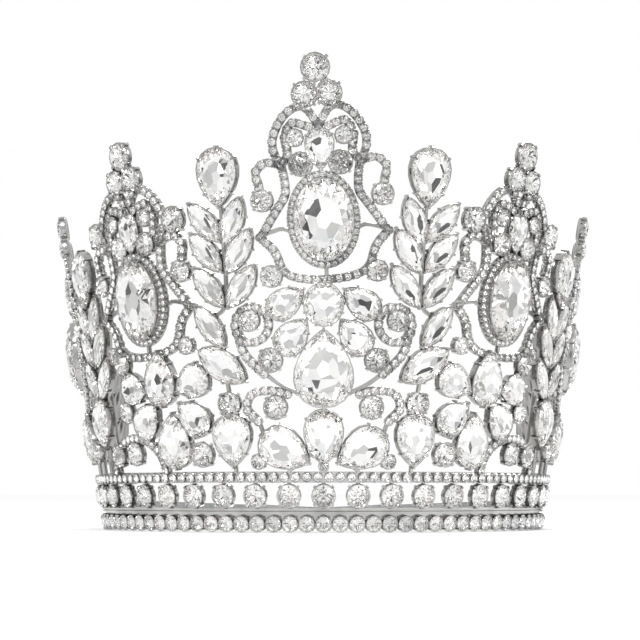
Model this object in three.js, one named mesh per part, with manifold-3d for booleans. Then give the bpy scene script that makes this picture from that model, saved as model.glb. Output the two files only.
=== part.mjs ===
// A pageant crown: a silver openwork wall of scrolls, sprays and flowers set with cut stones.
// The wall stands on a banded base, and a thin steel strip closes it at the back.
// Lengths are in millimetres, +Z is up and the front of the crown faces -Y.
import * as THREE from 'three';
import { mergeVertices } from 'three/addons/utils/BufferGeometryUtils.js';
import Module from 'manifold-3d';

const wasm = await Module();
wasm.setup();

// The wall: a cone that opens upward, cut open at the back
const BASE_RADIUS = 76;
const FLARE = THREE.MathUtils.degToRad(9);
const SHEET = 1.6;
const STONE_STAND = 2;
const FUSE = 0.25;
const SEAT_GAP = 0.3;
const SHEET_BACK = -STONE_STAND - SHEET;
const SHEET_FRONT = -STONE_STAND;

// The base band, from the bottom up
const ROW_STONE = 4.6;
const ROW_SPACE = 0.6;
const LEDGE = 1.4;
const LEDGE_STAND = 0.6;
const MID_STONE = 7.3;
const MID_SPACE = 3.7;
const TOP_RAIL = 3.3;

// Wires of the openwork
const PAVE = 2.8;
const WIRE = 1.5;
const HALO = 1.8;
const WIRE_STEP = 11.5;
const POST_GAP = 0.3;

// Main stones
const OVAL = { width: 18, length: 25 };
const FLOWER_PEAR = { width: 18, length: 24 };
const LEAF = { width: 7, length: 15.5 };
const SIDE_PETAL = { width: 12.5, length: 17 };
const RIM = 0.6;

// Heights of the ovals' middles and of the sprays' middle leaves
const PEAK_HEIGHTS = [95, 73, 59];
const SPRAY_HEIGHTS = [86, 60, 45];
const FLOWER_HEIGHT = 50;
const SIDE_FLOWER_HEIGHT = 42;
const REAR_FAN_HEIGHT = 31;
const PEAK_LEANS = [-3.3, 3, 2].map(THREE.MathUtils.degToRad);

// One bay holds half a peak on each side of a spray
const BAY = OVAL.width * 1.9 + LEAF.length * 1.4;
const BAY_ANGLE = BAY / BASE_RADIUS;
const SPRAY_PLACE = 0.488;
const REAR_SPRAY_PLACE = 1.5;
const REAR_PEAK_PLACE = 2.06;
const END_SPRAY_PLACE = 2.58;
const END_ANGLE = BAY_ANGLE * 2.74;

// The steel strip behind
const STRIP_HEIGHT = 4.8;
const STRIP_THICK = 0.6;
const STRIP_REACH = 54;
const STRIP_DROP = 2.6;
const COLLAR_PLACE = 0.62;
const COLLAR = { length: 3.2, lip: 0.9 };

const BAND_TOP = ROW_STONE + ROW_SPACE * 2 + LEDGE + MID_STONE + RIM + TOP_RAIL;

// Materials
const silver = () => new THREE.MeshStandardMaterial({ color: 0xc9cbcd, roughness: 0.22, metalness: 1 });
const crystal = () => new THREE.MeshStandardMaterial({ color: 0xf4f6f8, roughness: 0.03, metalness: 0.1 });
const steel = () => new THREE.MeshStandardMaterial({ color: 0xb4b6b8, roughness: 0.35, metalness: 1 });

// Places on the wall
const radiusAt = (height) => BASE_RADIUS + height * Math.sin(FLARE);

function wallNormal(angle) {
  const level = Math.cos(FLARE);
  return new THREE.Vector3(Math.sin(angle) * level, -Math.cos(angle) * level, -Math.sin(FLARE));
}

function wallPoint({ angle, height }, out = 0) {
  const radius = radiusAt(height);
  const point = new THREE.Vector3(radius * Math.sin(angle), -radius * Math.cos(angle), 0);
  return point.setZ(height * Math.cos(FLARE)).addScaledVector(wallNormal(angle), out);
}

// Panels are made as flat sheets first: x runs along the wall, y up its slope and z out of it.
// hand is 1 on the right of the crown and -1 on the left.
function bend(solid, middleAngle) {
  const geometry = toGeometry(solid);
  const angleOf = (v) => middleAngle + v.x / radiusAt(v.y);
  return moveVertices(geometry, (v) => wallPoint({ angle: angleOf(v), height: v.y }, v.z));
}

// Solids
function toSolid(geometry) {
  const bare = geometry.clone();
  bare.deleteAttribute('normal');
  bare.deleteAttribute('uv');
  const merged = mergeVertices(bare, 1e-4);
  const vertProperties = new Float32Array(merged.attributes.position.array);
  const triVerts = new Uint32Array(merged.index.array);
  return new wasm.Manifold(new wasm.Mesh({ numProp: 3, vertProperties, triVerts }));
}

function toGeometry(solid) {
  const mesh = solid.getMesh();
  const geometry = new THREE.BufferGeometry();
  geometry.setAttribute('position', new THREE.BufferAttribute(new Float32Array(mesh.vertProperties), 3));
  geometry.setIndex(new THREE.BufferAttribute(new Uint32Array(mesh.triVerts), 1));
  geometry.computeVertexNormals();
  return geometry;
}

function moveVertices(geometry, move) {
  const position = geometry.attributes.position;
  const vertex = new THREE.Vector3();
  for (let i = 0; i < position.count; i += 1) {
    vertex.fromBufferAttribute(position, i);
    const moved = move(vertex);
    position.setXYZ(i, moved.x, moved.y, moved.z);
  }
  return geometry;
}

// A flat wire along a smooth line through some points of the sheet
function wire(points, width, back = SHEET_BACK, front = SHEET_FRONT) {
  const line = new THREE.SplineCurve(points);
  const steps = points.length > 2 ? Math.ceil(line.getLength() / WIRE_STEP) : 1;
  const bar = new THREE.BoxGeometry(1, 1, 1, steps, 1, 1);
  return toSolid(moveVertices(bar, (v) => {
    const middle = line.getPointAt(v.x + 0.5);
    const along = line.getTangentAt(v.x + 0.5);
    return new THREE.Vector3(
      middle.x - along.y * v.y * width,
      middle.y + along.x * v.y * width,
      v.z > 0 ? front : back,
    );
  }));
}

// A flat ring with an oval middle line, such as a halo
const RING_STEPS = 4;
function ringWire(middle, across, up, width, back, front) {
  const outline = new THREE.Shape();
  outline.absellipse(middle.x, middle.y, across + width / 2, up + width / 2, 0, Math.PI * 2);
  const hole = new THREE.Path();
  hole.absellipse(middle.x, middle.y, across - width / 2, up - width / 2, 0, Math.PI * 2, true);
  outline.holes.push(hole);
  const options = { depth: front - back, bevelEnabled: false, curveSegments: RING_STEPS };
  return toSolid(new THREE.ExtrudeGeometry(outline, options).translate(0, 0, back));
}

// Outlines of the cuts, with the long axis up and the tip of a pear at the top
const PEAR_TAPER = 0.6;
const PEAR_WIDEST = Math.acos(-PEAR_TAPER / (2 + PEAR_TAPER));
const PEAR_FULL = 1 / (Math.sin(PEAR_WIDEST) * Math.sin(PEAR_WIDEST / 2) ** PEAR_TAPER);
const CUTS = {
  round: { sides: 8, across: (t) => Math.cos(t) },
  oval: { sides: 12, across: (t) => Math.cos(t) },
  pear: {
    sides: 8,
    across: (t) => PEAR_FULL * Math.cos(t) * Math.abs(Math.sin((Math.PI / 2 - t) / 2)) ** PEAR_TAPER,
  },
  marquise: { sides: 8, across: (t) => Math.sign(Math.cos(t)) * Math.abs(Math.cos(t)) ** 1.8 },
};

// A body with a cut's outline, drawn through levels of { grow, share, out } from the back to the front
function cutBody(middle, spin, cut, size, levels) {
  const { sides, across } = CUTS[cut];
  const last = levels.length - 1;
  const drum = new THREE.CylinderGeometry(1, 1, last, sides, last, false, Math.PI / 2);
  return moveVertices(drum, (v) => {
    const level = levels[Math.round(v.y + last / 2)];
    const turn = Math.atan2(v.x, v.z);
    const reach = Math.hypot(v.x, v.z) * (level.share || 1);
    const x = reach * (size.width / 2 + (level.grow || 0)) * across(turn);
    const y = reach * (size.length / 2 + (level.grow || 0)) * Math.sin(turn);
    return new THREE.Vector3(
      middle.x + x * Math.cos(spin) - y * Math.sin(spin),
      middle.y + x * Math.sin(spin) + y * Math.cos(spin),
      level.out,
    );
  });
}

// The plate that carries a loose stone
function seat(middle, spin, cut, size, grow = RIM) {
  return toSolid(cutBody(middle, spin, cut, size, [{ grow, out: SHEET_BACK }, { grow, out: SHEET_FRONT }]));
}

// A small stone fused to its setting, with a table and its facets
const SMALL_TABLE = 0.55;
function fusedStone(middle, spin, cut, size) {
  const levels = [{ grow: RIM + FUSE, out: SHEET_BACK }, { share: SMALL_TABLE, out: 0 }];
  return toSolid(cutBody(middle, spin, cut, size, levels));
}

// A main stone: girdle, facets and table. It is flat-footed, and stands on the wall without bending.
const TABLE = 0.56;
const GIRDLE_RISE = 0.07;
const CROWN_RISE = 0.19;
const DEEP_STONE = 14;
function looseStone(middle, angle, spin, cut, size) {
  const foot = SHEET_FRONT + SEAT_GAP;
  const origin = wallPoint({ angle: angle + middle.x / radiusAt(middle.y), height: middle.y });
  const facing = angle + middle.x / radiusAt(middle.y);
  const normal = wallNormal(facing);
  const along = new THREE.Vector3(Math.cos(facing), Math.sin(facing), 0);
  const up = new THREE.Vector3().crossVectors(normal, along);
  const top = { share: TABLE, out: foot + size.width * (GIRDLE_RISE + CROWN_RISE) };
  const girdle = { out: foot + size.width * GIRDLE_RISE };
  const levels = size.width > DEEP_STONE ? [{ out: foot }, girdle, top] : [{ out: foot }, top];
  const stone = cutBody(new THREE.Vector2(), spin, cut, size, levels);
  return moveVertices(stone, (v) => origin.clone()
    .addScaledVector(along, v.x)
    .addScaledVector(up, v.y)
    .addScaledVector(normal, v.z));
}

const crown = new THREE.Group();

function addMesh(name, geometry, material) {
  const mesh = new THREE.Mesh(geometry, material);
  mesh.name = name;
  crown.add(mesh);
}

const deg = THREE.MathUtils.degToRad;

// A motif draws one part of a panel. Its tables give places as shares of its own unit.
class Motif {
  constructor(hand, angle, height, unit, lean = 0) {
    Object.assign(this, { hand, angle, height, unit, lean, metal: [] });
  }

  at(across, up) {
    const x = across * this.unit.width;
    const y = up * this.unit.length;
    return new THREE.Vector2(
      this.hand * (x * Math.cos(this.lean) + y * Math.sin(this.lean)),
      this.height + y * Math.cos(this.lean) - x * Math.sin(this.lean),
    );
  }

  sized(width, length) {
    return { width: width * this.unit.width, length: length * this.unit.length };
  }

  turned(spin) {
    return this.hand * (deg(spin) - this.lean);
  }

  wire(path, width) {
    this.metal.push(wire(path.map(([across, up]) => this.at(across, up)), width));
  }

  round(across, up, size) {
    const stone = this.sized(size, size);
    stone.length = stone.width;
    this.metal.push(fusedStone(this.at(across, up), 0, 'round', stone));
  }

  fused(across, up, spin, cut, width, length) {
    this.metal.push(fusedStone(this.at(across, up), this.turned(spin), cut, this.sized(width, length)));
  }

  // A plain plate behind the tips of several stones
  hub(across, up, size) {
    const disc = this.sized(size, size);
    disc.length = disc.width;
    this.metal.push(seat(this.at(across, up), 0, 'round', disc));
  }

  stone(name, across, up, spin, cut, width, length) {
    const size = this.sized(width, length);
    const middle = this.at(across, up);
    this.metal.push(seat(middle, this.turned(spin), cut, size));
    addMesh(name, looseStone(middle, this.hand * this.angle, this.turned(spin), cut, size), crystal());
  }

  // A post from a place of the motif straight down to the band
  post(across, up) {
    const top = this.at(across, up);
    this.metal.push(wire([top, new THREE.Vector2(top.x, BAND_TOP + POST_GAP)], WIRE));
  }
}

function addPanel(name, motifs) {
  const [first] = motifs;
  const sheet = wasm.Manifold.union(motifs.flatMap((motif) => motif.metal));
  addMesh(name, bend(sheet, first.hand * first.angle), silver());
}

// The peak. Places are shares of the oval's width across and of its length up, for the right half.
const PEAK_WIRES = [
  {
    width: PAVE,
    path: [[0, 1.12], [0.17, 1.32], [0.36, 1.37], [0.61, 1.26], [0.79, 1.04], [0.8, 0.86], [0.69, 0.67]],
  },
  { width: PAVE, path: [[0.69, 0.69], [0.97, 0.73], [1.14, 0.62], [1.1, 0.49], [1.06, 0.28]] },
  { width: PAVE, path: [[0.68, 0.72], [0.63, 0.48], [0.64, 0.32], [0.76, 0.19], [0.93, 0.02], [1.1, -0.18]] },
  {
    width: PAVE,
    path: [[1.12, -0.16], [0.88, -0.34], [0.76, -0.56], [0.59, -0.66], [0.3, -0.71], [-0.04, -0.72]],
  },
];
const LOBE_TOP = 1.37;
const PEAK_ROUNDS = [
  { across: 0.34, up: 0.68, size: 0.39 },
  { across: 1.04, up: 0.28, size: 0.36 },
];

function mirrored(draw) {
  draw(1);
  draw(-1);
}

function peak(motif, name, pearName) {
  motif.unit = OVAL;
  const round = OVAL.width / OVAL.length;
  motif.metal.push(seat(motif.at(0, 0), motif.turned(0), 'oval', OVAL, SEAT_GAP + HALO));
  motif.stone(name, 0, 0, 0, 'oval', 1, 1);
  if (pearName) {
    motif.stone(pearName, 0, 0.85, 180, 'pear', 0.48, 0.5);
  } else {
    motif.fused(0, 0.85, 180, 'pear', 0.48, 0.5);
  }
  motif.wire([[0, -0.5], [0, -0.75]], WIRE);
  motif.wire([[0, 0.5], [0, 0.7]], WIRE);
  motif.round(0, LOBE_TOP + 0.632 * round, 0.47);
  mirrored((side) => {
    motif.round(side * 0.21, LOBE_TOP + 0.194 * round, 0.42);
    for (const { width, path } of PEAK_WIRES) {
      motif.wire(path.map(([across, up]) => [side * across, up]), width);
    }
    for (const { across, up, size } of PEAK_ROUNDS) {
      motif.round(side * across, up, size);
    }
  });
}

// The flower under the front peak. Places are shares of its big pear.
const FLOWER_PETALS = [
  { name: 'upper', across: 0.645, up: 0.84, spin: 54, width: 0.5, length: 0.54 },
  { name: 'lower', across: 0.53, up: 0.41, spin: 40, width: 0.53, length: 0.54 },
  { name: 'foot', across: 0.66, up: -1.025, spin: 120, width: 0.7, length: 0.7 },
];
const FLOWER_ROUNDS = [
  { across: 1.3, up: 0.62, size: 0.36 },
  { across: 0.92, up: 0.11, size: 0.4 },
  { across: 0.83, up: -0.49, size: 0.39 },
  { across: 1.12, up: -1.175, size: 0.24 },
];
const FLOWER_WIRES = [
  { width: PAVE, path: [[1.5, 0.46], [1.46, 0.32], [1.39, 0.19], [1.26, 0.08], [1.03, -0.07]] },
  { width: WIRE, path: [[1.06, -0.05], [0.75, -0.21], [0.4, -0.33]] },
  {
    width: PAVE,
    path: [[0.62, -0.33], [0.88, -0.28], [1.2, -0.3], [1.33, -0.4], [1.34, -0.52], [1.14, -0.67]],
  },
  { width: WIRE, path: [[1.14, -0.67], [1.02, -0.9]] },
  { width: WIRE, path: [[0.7, -1], [0, -1.15]] },
];
const CURL = { across: 1.255, up: 0.5625, radius: 0.305 };

function flower(motif) {
  motif.unit = FLOWER_PEAR;
  motif.stone('flower_pear', 0, 0, 0, 'pear', 1, 0.98);
  motif.stone('flower_middle', 0, 0.81, 0, 'oval', 0.66, 0.54);
  motif.stone('flower_drop', 0, -0.87, 180, 'pear', 0.66, 0.7);
  motif.hub(0, 0.79, 0.92);
  motif.post(0, -1.1);
  mirrored((side) => {
    const hand = side > 0 ? 'right' : 'left';
    for (const { name, across, up, spin, width, length } of FLOWER_PETALS) {
      motif.stone(`${name}_petal_${hand}`, side * across, up, side * spin, 'pear', width, length);
    }
    for (const { across, up, size } of FLOWER_ROUNDS) {
      motif.round(side * across, up, size);
    }
    for (const { width, path } of FLOWER_WIRES) {
      motif.wire(path.map(([across, up]) => [side * across, up]), width);
    }
    const middle = motif.at(side * CURL.across, CURL.up);
    const radius = CURL.radius * FLOWER_PEAR.width;
    motif.metal.push(ringWire(middle, radius, radius, PAVE, SHEET_BACK, SHEET_FRONT));
    motif.post(side * 0.6, -1.1);
  });
}

// A spray. Places are shares of a leaf's length. It leans outward as it rises, and side turns it about.
const LEAVES = [
  { across: -0.26, up: 0.59, spin: 22 },
  { across: 0.35, up: 0.59, spin: -40 },
  { across: -0.35, up: 0, spin: 32 },
  { across: 0.35, up: 0, spin: -40 },
  { across: -0.37, up: -0.69, spin: 36 },
  { across: 0.33, up: -0.69, spin: -38 },
  { across: 0.36, up: -1.46, spin: -35 },
];
const STEM = [[0, 1], [0, -0.9], [0.26, -1.3], [0.2, -1.75], [0.16, -2.2]];

function spray(motif, name, loose, foot) {
  motif.unit = { width: LEAF.length, length: LEAF.length };
  const leafWidth = LEAF.width / LEAF.length;
  LEAVES.slice(0, loose ? LEAVES.length : LEAVES.length - 1).forEach(({ across, up, spin }, i) => {
    if (loose) {
      motif.stone(`${name}_leaf_${i + 1}`, across, up, spin, 'marquise', leafWidth, 1);
    } else {
      motif.fused(across, up, spin, 'marquise', leafWidth, 1);
    }
  });
  if (loose) {
    motif.stone(`${name}_pear`, 0, 1.46, 180, 'pear', 0.84, 1.16);
    motif.stone(`${name}_foot_leaf`, 0.13, -2.23, -56, 'marquise', 0.6, 1.16);
    motif.round(0.03, -3, 0.45);
    motif.fused(0, -3.72, 180, 'pear', 0.8, 1.04);
    motif.wire(STEM, WIRE);
    motif.wire([[0.12, -2.3], [0.03, -3.2]], WIRE);
    motif.post(0, -4.1);
  } else {
    motif.fused(0, 1.46, 180, 'pear', 0.84, 1.16);
    motif.post(0, 1);
    if (foot) {
      motif.fused(0, -1.62, 180, 'pear', 0.8, 1.04);
    }
  }
}

// The flower under a side peak. Places are shares of its biggest petal.
const SIDE_PETALS = [
  { name: 'top', across: -0.46, up: 0.35, spin: 0, width: 1, length: 1 },
  { name: 'inner', across: -1.46, up: 0.27, spin: -115, width: 0.84, length: 0.73 },
  { name: '', across: 0.56, up: 0.18, spin: 100, width: 0.8, length: 0.72 },
  { name: 'low', across: -1.39, up: -0.38, spin: -47, width: 0.8, length: 0.78 },
  { name: 'outer', across: 0.15, up: -0.41, spin: 48, width: 0.84, length: 0.76 },
  { name: 'foot', across: -0.74, up: -0.8, spin: 0, width: 1, length: 1 },
];
const SIDE_ROUNDS = [
  { across: -1.52, up: -1.06, size: 0.6 },
  { across: 0.81, up: -1.03, size: 0.56 },
  { across: 1, up: 0.67, size: 0.6 },
  { across: 1, up: -0.25, size: 0.52 },
  { across: 1.65, up: -1.06, size: 0.56 },
];
const ARCH = { across: 0.81, half: 1.1, top: -0.73, points: 7 };
const SIDE_PEAK_ROUNDS = [
  { across: 1.03, up: 0.92, size: 0.44 },
];

function sideFlower(motif, hand) {
  motif.unit = SIDE_PETAL;
  for (const { name, across, up, spin, width, length } of SIDE_PETALS) {
    if (name) {
      motif.stone(`${name}_side_petal_${hand}`, across, up, spin, 'pear', width, length);
    } else {
      motif.fused(across, up, spin, 'pear', width, length);
    }
  }
  for (const { across, up, size } of SIDE_ROUNDS) {
    motif.round(across, up, size);
  }
  motif.hub(-0.5, -0.03, 1.15);
  const foot = (BAND_TOP + POST_GAP + PAVE / 4 - motif.height) / SIDE_PETAL.length;
  const arch = Array.from({ length: ARCH.points }, (_, i) => {
    const turn = (i / (ARCH.points - 1)) * Math.PI;
    return [ARCH.across - Math.cos(turn) * ARCH.half, foot + Math.sin(turn) * (ARCH.top - foot)];
  });
  motif.wire(arch, PAVE);
}

// The foot of a rear peak: a fan of three pears and two rounds. Places are shares of the biggest petal.
function rearFan(motif) {
  motif.unit = SIDE_PETAL;
  motif.fused(0, 0, 0, 'pear', 1, 1);
  motif.wire([[-1.7, -0.15], [1.7, -0.15]], WIRE);
  mirrored((side) => {
    motif.fused(side * 1.1, -0.05, side * 40, 'pear', 0.84, 0.82);
    motif.round(side * 1.7, -0.3, 0.56);
    motif.post(side * 1.7, -0.3);
  });
}

// The base band: a row of stones with a ledge above, a row of larger stones, and a rail
function bandSweep(profile, steps) {
  const section = new THREE.Shape(profile.map(([out, height]) => new THREE.Vector2(out, height)));
  const bar = new THREE.ExtrudeGeometry(section, { depth: 1, steps, bevelEnabled: false });
  return toSolid(moveVertices(bar, (v) => {
    const place = { angle: (0.5 - v.z) * 2 * END_ANGLE, height: v.y };
    return wallPoint(place, v.x).setZ(v.y === 0 ? 0 : wallPoint(place, v.x).z);
  }));
}

function rowPlaces(count) {
  return Array.from({ length: count }, (_, i) => ((i + 0.5) / count - 0.5) * 2 * END_ANGLE);
}

// A row stone stands on the flat facet of its own length of the sweep
function rowStone(angle, height, count, size, levels) {
  const sag = radiusAt(height) * (1 - Math.cos(END_ANGLE / count));
  const stone = cutBody(new THREE.Vector2(0, height), 0, 'round', { width: size, length: size }, levels);
  const middle = wallPoint({ angle, height: 0 });
  const normal = wallNormal(angle);
  const along = new THREE.Vector3(Math.cos(angle), Math.sin(angle), 0);
  const up = new THREE.Vector3().crossVectors(normal, along);
  return toSolid(moveVertices(stone, (v) => middle.clone()
    .addScaledVector(along, v.x)
    .addScaledVector(up, v.y)
    .addScaledVector(normal, v.z - sag)));
}

function baseBand() {
  const ledgeLow = ROW_STONE + 2 * ROW_SPACE;
  const ledgeHigh = ledgeLow + LEDGE;
  const midHeight = ledgeHigh + (MID_STONE + RIM) / 2;
  const railLow = BAND_TOP - TOP_RAIL;
  const around = 2 * END_ANGLE * BASE_RADIUS;
  const midCount = 2 * Math.round((around / (MID_STONE + MID_SPACE) - 1) / 2) + 1;
  const ledgeFront = SHEET_FRONT + LEDGE_STAND;
  const solids = [
    bandSweep([
      [SHEET_BACK, 0],
      [SHEET_FRONT, 0],
      [SHEET_FRONT, ledgeLow],
      [ledgeFront, ledgeLow],
      [ledgeFront, ledgeHigh],
      [SHEET_BACK, ledgeHigh],
    ], midCount),
    bandSweep([
      [SHEET_BACK, railLow],
      [SHEET_FRONT, railLow],
      [SHEET_FRONT, BAND_TOP],
      [SHEET_BACK, BAND_TOP],
    ], midCount),
  ];
  for (const angle of rowPlaces(midCount)) {
    solids.push(rowStone(angle, midHeight, midCount, MID_STONE, [
      { grow: RIM * 2, out: SHEET_BACK + FUSE },
      { share: SMALL_TABLE, out: 0 },
    ]));
  }
  for (const hand of [1, -1]) {
    const post = (height) => new THREE.Vector2(-hand * WIRE, height);
    solids.push(toSolid(bend(wire([post(ledgeHigh - FUSE), post(railLow + FUSE)], WIRE), hand * END_ANGLE)));
    solids.push(...strapTabs(hand));
  }
  return toGeometry(wasm.Manifold.union(solids));
}

// The steel strip runs inside the ends of the band and then round the back
const STRAP_WALL = SHEET_BACK - SEAT_GAP * 4 - STRIP_THICK / 2;
const STRAP_HEIGHT = STRIP_HEIGHT / 2 + STRIP_DROP * 1.5;
const STRAP_START = END_ANGLE - deg(15);
const TAB = { width: 1.8, reach: 1.5 };

function strapTabs(hand) {
  const tabs = [];
  const far = SHEET_BACK - SEAT_GAP * 5 - STRIP_THICK * 2;
  for (const angle of [STRAP_START + deg(3), END_ANGLE - deg(1.5)]) {
    for (const side of [1, -1]) {
      const edge = STRAP_HEIGHT + side * (STRIP_HEIGHT / 2 + SEAT_GAP);
      const ends = [new THREE.Vector2(0, edge), new THREE.Vector2(0, edge + side * TAB.reach)];
      tabs.push(toSolid(bend(wire(ends, TAB.width, far, SHEET_FRONT - FUSE), hand * angle)));
    }
  }
  return tabs;
}

function strapLine() {
  const points = [];
  const ends = [STRAP_START, (STRAP_START + END_ANGLE) / 2, END_ANGLE];
  const wallSpots = ends.map((angle) => wallPoint({ angle, height: STRAP_HEIGHT }, STRAP_WALL));
  const last = wallSpots[2];
  const backSpots = [0.77, 0.42].map((share) => new THREE.Vector3(
    last.x * share,
    last.y + (STRIP_REACH - last.y) * (1 - share ** 2) ** 0.8,
    last.z - STRIP_DROP * (1 - share),
  ));
  const half = [...wallSpots, ...backSpots];
  points.push(...half.map((p) => new THREE.Vector3(-p.x, p.y, p.z)));
  points.push(new THREE.Vector3(0, STRIP_REACH, last.z - STRIP_DROP));
  points.push(...half.reverse());
  return new THREE.CatmullRomCurve3(points, false, 'centripetal');
}

// A stretch of flat strip along the strap line, from one share of its length to another
function strap(line, from, to, thick, tall, shift, steps) {
  const bar = new THREE.BoxGeometry(1, 1, 1, steps, 1, 1);
  return moveVertices(bar, (v) => {
    const share = from + (v.x + 0.5) * (to - from);
    const middle = line.getPointAt(share);
    const along = line.getTangentAt(share).setZ(0).normalize();
    const out = new THREE.Vector3(along.y, -along.x, 0);
    middle.addScaledVector(out, v.z * thick + shift);
    middle.z += v.y * tall;
    return middle;
  });
}

// The two end strips slide on the inner side of the middle one.
// A collar at each end of the middle one folds round them.
const MIDDLE_TALL = STRIP_HEIGHT + 0.6;
function headStrips() {
  const line = strapLine();
  const total = line.getLength();
  const lap = 0.5 - (COLLAR_PLACE * STRIP_REACH) / total / 1.2;
  const lapLength = (COLLAR.length * 4) / total;
  const shift = STRIP_THICK + SEAT_GAP;
  addMesh('head_strip_left', strap(line, 0, lap + lapLength, STRIP_THICK, STRIP_HEIGHT, 0, 12), steel());
  addMesh('head_strip_right', strap(line, 1 - lap - lapLength, 1, STRIP_THICK, STRIP_HEIGHT, 0, 12), steel());
  const solids = [toSolid(strap(line, lap, 1 - lap, STRIP_THICK, MIDDLE_TALL, shift, 20))];
  const collar = COLLAR.length / total;
  const lip = (MIDDLE_TALL + COLLAR.lip) / 2;
  for (const start of [lap, 1 - lap - collar]) {
    const around = strap(line, start, start + collar, STRIP_THICK * 3 + SEAT_GAP * 2, lip * 2, 0, 2);
    const slot = { thick: STRIP_THICK + SEAT_GAP * 2, tall: STRIP_HEIGHT + SEAT_GAP * 2 };
    const channel = strap(line, start - collar, start + collar * 2, slot.thick, slot.tall, 0, 4);
    solids.push(toSolid(around).subtract(toSolid(channel)));
  }
  addMesh('head_strip_middle', toGeometry(wasm.Manifold.union(solids)), steel());
}

// Everything in its place
addMesh('base_band', baseBand(), silver());

const front = new Motif(1, 0, PEAK_HEIGHTS[0], OVAL, PEAK_LEANS[0]);
peak(front, 'front_oval', 'front_crest_pear');
mirrored((side) => front.round(side * 0.91 - 0.04, -0.64, 0.35));
const bloom = new Motif(1, 0, FLOWER_HEIGHT, FLOWER_PEAR);
flower(bloom);
addPanel('front_panel', [front, bloom]);

for (const hand of [1, -1]) {
  const side = hand > 0 ? 'right' : 'left';

  const nearSpray = new Motif(hand, BAY_ANGLE * SPRAY_PLACE, SPRAY_HEIGHTS[0], LEAF);
  spray(nearSpray, `spray_${side}`, true, true);
  addPanel(`spray_${side}`, [nearSpray]);

  const sidePeak = new Motif(hand, BAY_ANGLE, PEAK_HEIGHTS[1], OVAL, PEAK_LEANS[1]);
  peak(sidePeak, `side_oval_${side}`, `side_crest_pear_${side}`);
  mirrored((way) => {
    for (const { across, up, size } of SIDE_PEAK_ROUNDS) {
      sidePeak.round(way * across, up, size);
      }
  });
  const sideBloom = new Motif(hand, BAY_ANGLE, SIDE_FLOWER_HEIGHT, SIDE_PETAL);
  sideFlower(sideBloom, side);
  addPanel(`side_panel_${side}`, [sidePeak, sideBloom]);

  const rearSpray = new Motif(hand, BAY_ANGLE * REAR_SPRAY_PLACE, SPRAY_HEIGHTS[1], LEAF);
  spray(rearSpray, '', false, true);
  addPanel(`rear_spray_${side}`, [rearSpray]);

  const rearPeak = new Motif(hand, BAY_ANGLE * REAR_PEAK_PLACE, PEAK_HEIGHTS[2], OVAL, PEAK_LEANS[2]);
  peak(rearPeak, `rear_oval_${side}`, '');
  rearPeak.post(0, -0.7);
  const fan = new Motif(hand, BAY_ANGLE * REAR_PEAK_PLACE, REAR_FAN_HEIGHT, SIDE_PETAL);
  rearFan(fan);
  addPanel(`rear_panel_${side}`, [rearPeak, fan]);

  const endSpray = new Motif(hand, BAY_ANGLE * END_SPRAY_PLACE, SPRAY_HEIGHTS[2], LEAF);
  spray(endSpray, '', false, false);
  addPanel(`end_spray_${side}`, [endSpray]);
}

headStrips();

// The origin is the middle of the foot, below the middle of the whole crown
const box = new THREE.Box3().setFromObject(crown);
const toFoot = box.getCenter(new THREE.Vector3()).setZ(box.min.z).negate();
for (const mesh of crown.children) {
  mesh.geometry.translate(toFoot.x, toFoot.y, toFoot.z);
}

export default crown;
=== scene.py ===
import itertools
import math

import bmesh
import bpy
import numpy as np
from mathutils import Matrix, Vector


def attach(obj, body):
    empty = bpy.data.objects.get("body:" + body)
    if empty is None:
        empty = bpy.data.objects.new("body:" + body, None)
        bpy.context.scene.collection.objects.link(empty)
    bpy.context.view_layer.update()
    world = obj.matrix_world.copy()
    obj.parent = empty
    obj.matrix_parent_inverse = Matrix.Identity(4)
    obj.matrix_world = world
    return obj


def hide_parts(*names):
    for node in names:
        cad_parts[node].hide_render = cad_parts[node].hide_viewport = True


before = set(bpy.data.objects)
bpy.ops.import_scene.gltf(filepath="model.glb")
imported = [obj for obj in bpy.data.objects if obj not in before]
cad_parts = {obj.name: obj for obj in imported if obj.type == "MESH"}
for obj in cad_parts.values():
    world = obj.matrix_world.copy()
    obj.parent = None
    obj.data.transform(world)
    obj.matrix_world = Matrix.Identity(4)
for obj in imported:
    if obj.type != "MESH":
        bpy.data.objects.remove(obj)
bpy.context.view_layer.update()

# A pageant crown: silver openwork, faceted clear stones in claw settings, and a steel strip behind.
# Lengths are in metres, worked out from millimetres with MM.
MM = 0.001

# The wall, as in the frame: a cone that opens upward, cut open at the back
BASE_RADIUS = 76 * MM
FLARE = math.radians(9)
SHEET_BACK = -3.6 * MM
SHEET_FRONT = -2 * MM
SEAT_GAP = 0.3 * MM
RIM = 0.6 * MM

# The band. An inset is how far a sheet lies behind the wall's front or before its back. A spare is
# what a stone lacks of its place's size, and a sink or lift is from the usual height.
ROW_STONE = 4.6 * MM
ROW_SPACE = 0.6 * MM
LEDGE = 1.4 * MM
LEDGE_STAND = 0.6 * MM
MID_STONE = 7.3 * MM
MID_SPACE = 3.7 * MM
TOP_RAIL = 3.3 * MM
RAIL_STONE = 2.7 * MM
FOOT_EDGE = 0.9 * MM
ROW_HEIGHT = 2.6 * MM
ROW_SPARE = 0.1 * MM
ROW_SINK = 0.4 * MM
MID_SPARE = 0.4 * MM
LEDGE_SHEET = 0.55 * MM
LEDGE_INSET = 0.3 * MM
BAND_INSET = 0.5 * MM
RAIL_INSET = 0.3 * MM
RAIL_SPACE = 0.8 * MM
RAIL_LIFT = 0.3 * MM
ROW_WALL = RIM * 0.55
BRIDGE_START = 0.47
BAND_TOP = ROW_STONE + ROW_SPACE * 2 + LEDGE + MID_STONE + RIM + TOP_RAIL

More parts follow.
